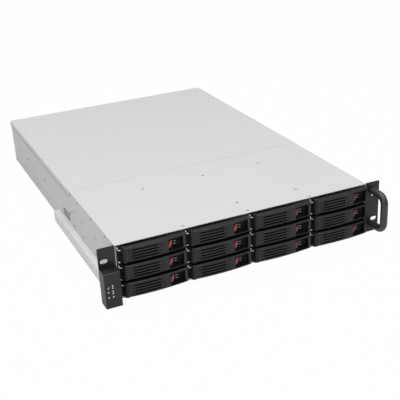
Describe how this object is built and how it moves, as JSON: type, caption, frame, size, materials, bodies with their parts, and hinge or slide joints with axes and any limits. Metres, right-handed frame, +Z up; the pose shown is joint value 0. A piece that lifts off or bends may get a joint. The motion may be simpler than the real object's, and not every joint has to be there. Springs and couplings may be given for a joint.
{
  "type": "rackmount server chassis",
  "caption": "Two-unit rackmount server chassis with front drive trays on ejector levers, rack ears, a bow handle, a control box and a lift-off rear cover.",
  "frame": {"origin": "mid-width, on the front plane of the rack ears, at the underside", "axes": "+X to the right seen from the front, +Y to the rear, +Z up"},
  "size_m": [0.4826, 0.6972, 0.088],
  "materials": {
    "painted_steel": "satin light grey",
    "galvanised_steel": "galvanised",
    "black_metal": "fine textured black",
    "black_plastic": "moulded matte",
    "red_plastic": "gloss",
    "lens": "clear",
    "circuit_board": "solder mask",
    "button_plastic": "satin"
  },
  "bodies": {
    "chassis": {"base_pan": "painted_steel", "front_top_panel": "painted_steel", "rear_panel": "painted_steel", "slot_blanks": "galvanised_steel", "supply_bay": "galvanised_steel", "left_ear": "black_metal", "right_ear": "black_metal", "ear_handle": "black_metal", "control_box": "black_plastic", "indicator_lenses": "lens", "cable_duct": "painted_steel", "drive_cage": "galvanised_steel", "backplane": "circuit_board", "drive_connectors": "black_plastic", "fan_bracket": "galvanised_steel", "fan_frames": "black_plastic"},
    "cover": {"rear_cover": "painted_steel", "cover_thumbscrews": "galvanised_steel"},
    "power": {"power_button": "button_plastic"},
    "reset": {"reset_button": "button_plastic"},
    "rotor_1": {"fan_rotor_1": "black_plastic"},
    "rotor_2": {"fan_rotor_2": "black_plastic"},
    "rotor_3": {"fan_rotor_3": "black_plastic"},
    "rotor_4": {"fan_rotor_4": "black_plastic"},
    "tray_1": {"drive_tray_1": "black_plastic"},
    "lever_1": {"tray_lever_1": "black_plastic"},
    "latch_1": {"tray_latch_1": "red_plastic"},
    "tray_2": {"drive_tray_2": "black_plastic"},
    "lever_2": {"tray_lever_2": "black_plastic"},
    "latch_2": {"tray_latch_2": "red_plastic"},
    "tray_3": {"drive_tray_3": "black_plastic"},
    "lever_3": {"tray_lever_3": "black_plastic"},
    "latch_3": {"tray_latch_3": "red_plastic"},
    "tray_4": {"drive_tray_4": "black_plastic"},
    "lever_4": {"tray_lever_4": "black_plastic"},
    "latch_4": {"tray_latch_4": "red_plastic"},
    "tray_5": {"drive_tray_5": "black_plastic"},
    "lever_5": {"tray_lever_5": "black_plastic"},
    "latch_5": {"tray_latch_5": "red_plastic"},
    "tray_6": {"drive_tray_6": "black_plastic"},
    "lever_6": {"tray_lever_6": "black_plastic"},
    "latch_6": {"tray_latch_6": "red_plastic"},
    "tray_7": {"drive_tray_7": "black_plastic"},
    "lever_7": {"tray_lever_7": "black_plastic"},
    "latch_7": {"tray_latch_7": "red_plastic"},
    "tray_8": {"drive_tray_8": "black_plastic"},
    "lever_8": {"tray_lever_8": "black_plastic"},
    "latch_8": {"tray_latch_8": "red_plastic"},
    "tray_9": {"drive_tray_9": "black_plastic"},
    "lever_9": {"tray_lever_9": "black_plastic"},
    "latch_9": {"tray_latch_9": "red_plastic"},
    "tray_10": {"drive_tray_10": "black_plastic"},
    "lever_10": {"tray_lever_10": "black_plastic"},
    "latch_10": {"tray_latch_10": "red_plastic"},
    "tray_11": {"drive_tray_11": "black_plastic"},
    "lever_11": {"tray_lever_11": "black_plastic"},
    "latch_11": {"tray_latch_11": "red_plastic"},
    "tray_12": {"drive_tray_12": "black_plastic"},
    "lever_12": {"tray_lever_12": "black_plastic"},
    "latch_12": {"tray_latch_12": "red_plastic"}
  },
  "joints": [
    {"name": "cover_lift", "type": "slide", "parent": "chassis", "child": "cover", "axis": [0, 0, 1], "range_m": [0, 0.15]},
    {"name": "power_press", "type": "slide", "parent": "chassis", "child": "power", "axis": [0, 1, 0], "range_m": [0, 0.0008], "stiffness_N_per_m": 300},
    {"name": "reset_press", "type": "slide", "parent": "chassis", "child": "reset", "axis": [0, 1, 0], "range_m": [0, 0.0008], "stiffness_N_per_m": 200},
    {"name": "rotor_1_spin", "type": "hinge", "parent": "chassis", "child": "rotor_1", "pos_m": [-0.1605, 0.253, 0.042], "axis": [0, 1, 0], "continuous": true},
    {"name": "rotor_2_spin", "type": "hinge", "parent": "chassis", "child": "rotor_2", "pos_m": [-0.0535, 0.253, 0.042], "axis": [0, 1, 0], "continuous": true},
    {"name": "rotor_3_spin", "type": "hinge", "parent": "chassis", "child": "rotor_3", "pos_m": [0.0535, 0.253, 0.042], "axis": [0, 1, 0], "continuous": true},
    {"name": "rotor_4_spin", "type": "hinge", "parent": "chassis", "child": "rotor_4", "pos_m": [0.1605, 0.253, 0.042], "axis": [0, 1, 0], "continuous": true},
    {"name": "tray_1_slide", "type": "slide", "parent": "chassis", "child": "tray_1", "axis": [0, -1, 0], "range_m": [0, 0.14]},
    {"name": "lever_1_swing", "type": "hinge", "parent": "tray_1", "child": "lever_1", "pos_m": [-0.203, -0.0057, 0.07267], "axis": [0, 0, -1], "range_deg": [0, 45]},
    {"name": "latch_1_press", "type": "slide", "parent": "tray_1", "child": "latch_1", "axis": [0, 1, 0], "range_m": [0, 0.002], "stiffness_N_per_m": 300},
    {"name": "tray_2_slide", "type": "slide", "parent": "chassis", "child": "tray_2", "axis": [0, -1, 0], "range_m": [0, 0.14]},
    {"name": "lever_2_swing", "type": "hinge", "parent": "tray_2", "child": "lever_2", "pos_m": [-0.096, -0.0057, 0.07267], "axis": [0, 0, -1], "range_deg": [0, 45]},
    {"name": "latch_2_press", "type": "slide", "parent": "tray_2", "child": "latch_2", "axis": [0, 1, 0], "range_m": [0, 0.002], "stiffness_N_per_m": 300},
    {"name": "tray_3_slide", "type": "slide", "parent": "chassis", "child": "tray_3", "axis": [0, -1, 0], "range_m": [0, 0.14]},
    {"name": "lever_3_swing", "type": "hinge", "parent": "tray_3", "child": "lever_3", "pos_m": [0.011, -0.0057, 0.07267], "axis": [0, 0, -1], "range_deg": [0, 45]},
    {"name": "latch_3_press", "type": "slide", "parent": "tray_3", "child": "latch_3", "axis": [0, 1, 0], "range_m": [0, 0.002], "stiffness_N_per_m": 300},
    {"name": "tray_4_slide", "type": "slide", "parent": "chassis", "child": "tray_4", "axis": [0, -1, 0], "range_m": [0, 0.14]},
    {"name": "lever_4_swing", "type": "hinge", "parent": "tray_4", "child": "lever_4", "pos_m": [0.118, -0.0057, 0.07267], "axis": [0, 0, -1], "range_deg": [0, 45]},
    {"name": "latch_4_press", "type": "slide", "parent": "tray_4", "child": "latch_4", "axis": [0, 1, 0], "range_m": [0, 0.002], "stiffness_N_per_m": 300},
    {"name": "tray_5_slide", "type": "slide", "parent": "chassis", "child": "tray_5", "axis": [0, -1, 0], "range_m": [0, 0.14]},
    {"name": "lever_5_swing", "type": "hinge", "parent": "tray_5", "child": "lever_5", "pos_m": [-0.203, -0.0057, 0.044], "axis": [0, 0, -1], "range_deg": [0, 45]},
    {"name": "latch_5_press", "type": "slide", "parent": "tray_5", "child": "latch_5", "axis": [0, 1, 0], "range_m": [0, 0.002], "stiffness_N_per_m": 300},
    {"name": "tray_6_slide", "type": "slide", "parent": "chassis", "child": "tray_6", "axis": [0, -1, 0], "range_m": [0, 0.14]},
    {"name": "lever_6_swing", "type": "hinge", "parent": "tray_6", "child": "lever_6", "pos_m": [-0.096, -0.0057, 0.044], "axis": [0, 0, -1], "range_deg": [0, 45]},
    {"name": "latch_6_press", "type": "slide", "parent": "tray_6", "child": "latch_6", "axis": [0, 1, 0], "range_m": [0, 0.002], "stiffness_N_per_m": 300},
    {"name": "tray_7_slide", "type": "slide", "parent": "chassis", "child": "tray_7", "axis": [0, -1, 0], "range_m": [0, 0.14]},
    {"name": "lever_7_swing", "type": "hinge", "parent": "tray_7", "child": "lever_7", "pos_m": [0.011, -0.0057, 0.044], "axis": [0, 0, -1], "range_deg": [0, 45]},
    {"name": "latch_7_press", "type": "slide", "parent": "tray_7", "child": "latch_7", "axis": [0, 1, 0], "range_m": [0, 0.002], "stiffness_N_per_m": 300},
    {"name": "tray_8_slide", "type": "slide", "parent": "chassis", "child": "tray_8", "axis": [0, -1, 0], "range_m": [0, 0.14]},
    {"name": "lever_8_swing", "type": "hinge", "parent": "tray_8", "child": "lever_8", "pos_m": [0.118, -0.0057, 0.044], "axis": [0, 0, -1], "range_deg": [0, 45]},
    {"name": "latch_8_press", "type": "slide", "parent": "tray_8", "child": "latch_8", "axis": [0, 1, 0], "range_m": [0, 0.002], "stiffness_N_per_m": 300},
    {"name": "tray_9_slide", "type": "slide", "parent": "chassis", "child": "tray_9", "axis": [0, -1, 0], "range_m": [0, 0.14]},
    {"name": "lever_9_swing", "type": "hinge", "parent": "tray_9", "child": "lever_9", "pos_m": [-0.203, -0.0057, 0.01533], "axis": [0, 0, -1], "range_deg": [0, 45]},
    {"name": "latch_9_press", "type": "slide", "parent": "tray_9", "child": "latch_9", "axis": [0, 1, 0], "range_m": [0, 0.002], "stiffness_N_per_m": 300},
    {"name": "tray_10_slide", "type": "slide", "parent": "chassis", "child": "tray_10", "axis": [0, -1, 0], "range_m": [0, 0.14]},
    {"name": "lever_10_swing", "type": "hinge", "parent": "tray_10", "child": "lever_10", "pos_m": [-0.096, -0.0057, 0.01533], "axis": [0, 0, -1], "range_deg": [0, 45]},
    {"name": "latch_10_press", "type": "slide", "parent": "tray_10", "child": "latch_10", "axis": [0, 1, 0], "range_m": [0, 0.002], "stiffness_N_per_m": 300},
    {"name": "tray_11_slide", "type": "slide", "parent": "chassis", "child": "tray_11", "axis": [0, -1, 0], "range_m": [0, 0.14]},
    {"name": "lever_11_swing", "type": "hinge", "parent": "tray_11", "child": "lever_11", "pos_m": [0.011, -0.0057, 0.01533], "axis": [0, 0, -1], "range_deg": [0, 45]},
    {"name": "latch_11_press", "type": "slide", "parent": "tray_11", "child": "latch_11", "axis": [0, 1, 0], "range_m": [0, 0.002], "stiffness_N_per_m": 300},
    {"name": "tray_12_slide", "type": "slide", "parent": "chassis", "child": "tray_12", "axis": [0, -1, 0], "range_m": [0, 0.14]},
    {"name": "lever_12_swing", "type": "hinge", "parent": "tray_12", "child": "lever_12", "pos_m": [0.118, -0.0057, 0.01533], "axis": [0, 0, -1], "range_deg": [0, 45]},
    {"name": "latch_12_press", "type": "slide", "parent": "tray_12", "child": "latch_12", "axis": [0, 1, 0], "range_m": [0, 0.002], "stiffness_N_per_m": 300}
  ]
}
